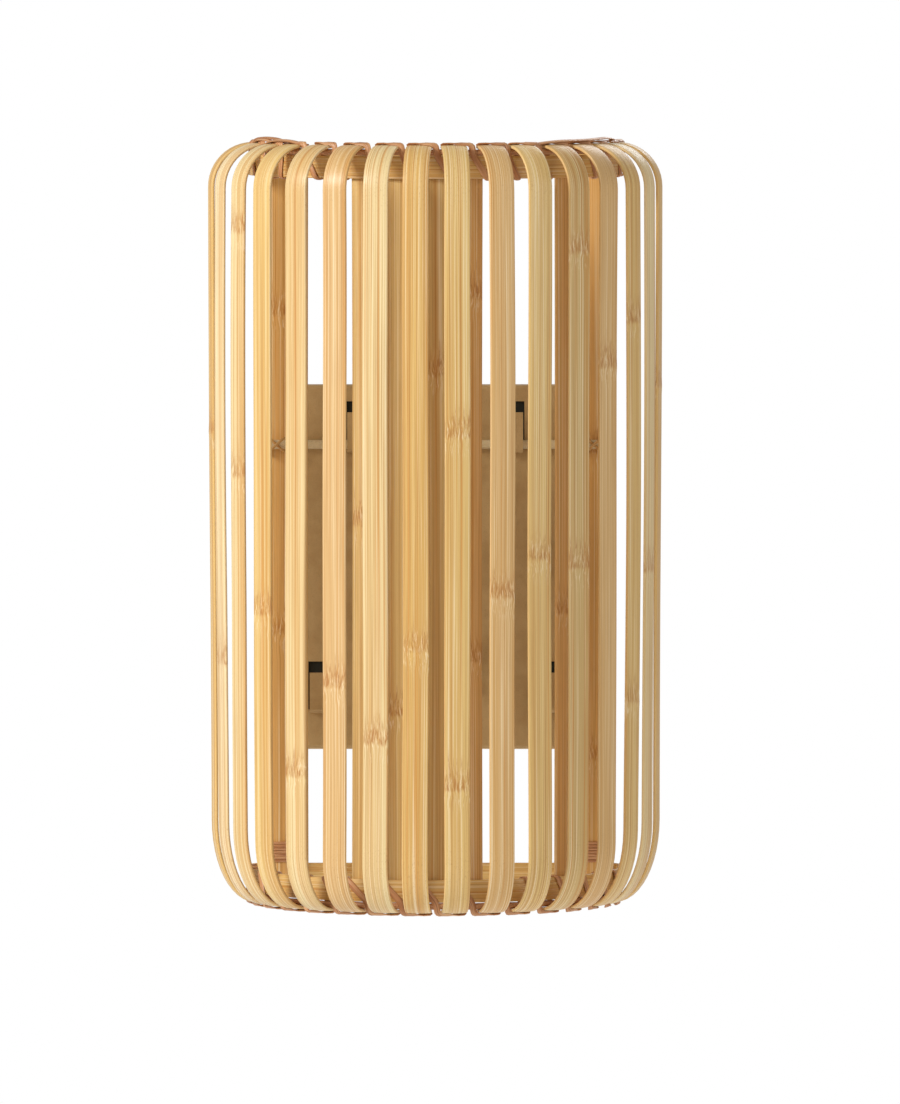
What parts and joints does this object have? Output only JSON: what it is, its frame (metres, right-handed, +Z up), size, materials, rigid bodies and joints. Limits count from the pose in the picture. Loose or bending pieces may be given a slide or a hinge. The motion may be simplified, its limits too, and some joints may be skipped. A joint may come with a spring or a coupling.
{
  "type": "wall light",
  "caption": "Wall light with a half-round shade of bent bamboo slats laced to hoops, hung by a rod on hooks of a steel back plate, with a lampholder and a tubular lamp inside.",
  "frame": {"origin": "the middle of the wall bracket's back face, on the wall", "axes": "+Z up, +Y into the wall, +X to the right as seen from the room"},
  "size_m": [0.199, 0.1201, 0.3346],
  "materials": {
    "bamboo": "satin split bamboo with its fibres and nodes",
    "cane": "matt cane strip",
    "painted_steel": "fine-textured powder coat",
    "plated_steel": "zinc plated",
    "brass": "plain",
    "white_plastic": "moulded",
    "opal_glass": "opal, unlit",
    "black_rubber": "matt",
    "brown_insulation": "silicone wire insulation",
    "blue_insulation": "silicone wire insulation",
    "green_insulation": "green and yellow wire insulation"
  },
  "bodies": {
    "wall_unit": {"wall_bracket": "plated_steel", "wall_plate": "painted_steel", "plate_spacer_top": "plated_steel", "plate_spacer_bottom": "plated_steel", "plate_screw_top": "plated_steel", "plate_screw_bottom": "plated_steel", "cable_grommet": "black_rubber", "terminal_block": "white_plastic", "earth_screw": "brass", "lamp_arm": "painted_steel", "arm_rivet_left": "plated_steel", "arm_rivet_right": "plated_steel", "holder_base": "white_plastic", "holder_shell": "white_plastic", "holder_insert": "brass", "holder_contact": "brass", "holder_nut": "plated_steel", "wire_live": "brown_insulation", "wire_neutral": "blue_insulation", "wire_earth": "green_insulation"},
    "shade": {"front_slat_01": "bamboo", "front_slat_02": "bamboo", "front_slat_03": "bamboo", "front_slat_04": "bamboo", "front_slat_05": "bamboo", "front_slat_06": "bamboo", "front_slat_07": "bamboo", "front_slat_08": "bamboo", "front_slat_09": "bamboo", "front_slat_10": "bamboo", "front_slat_11": "bamboo", "front_slat_12": "bamboo", "front_slat_13": "bamboo", "front_slat_14": "bamboo", "front_slat_15": "bamboo", "front_slat_16": "bamboo", "inner_slat_01": "bamboo", "inner_slat_02": "bamboo", "inner_slat_03": "bamboo", "inner_slat_04": "bamboo", "inner_slat_05": "bamboo", "inner_slat_06": "bamboo", "rear_post_left": "bamboo", "rear_post_right": "bamboo", "hoop_band_top": "bamboo", "hoop_band_bottom": "bamboo", "rim_core_top": "cane", "rim_core_bottom": "cane", "lacing_top": "cane", "lacing_bottom": "cane", "post_wrap_left": "cane", "post_wrap_right": "cane", "hanging_rod": "painted_steel", "rod_lashing_left": "painted_steel", "rod_lashing_right": "painted_steel"},
    "lamp_base": {"lamp_cap": "brass", "lamp_tip": "brass"},
    "lamp_bulb": {"lamp_glass": "opal_glass"}
  },
  "joints": [
    {"name": "shade_lift", "type": "slide", "parent": "wall_unit", "child": "shade", "axis": [0, 0, 1], "range_m": [0, 0.024]},
    {"name": "lamp_out", "type": "slide", "parent": "wall_unit", "child": "lamp_base", "axis": [0, 0, 1], "range_m": [0, 0.0145]},
    {"name": "lamp_turn", "type": "hinge", "parent": "lamp_base", "child": "lamp_bulb", "pos_m": [0, -0.052, -0.0523], "axis": [0, 0, 1], "range_deg": [0, 1800]}
  ],
  "couplings": [
    {"joint": "lamp_out", "follows": "lamp_turn", "m_per_rad": 0.00044882}
  ]
}
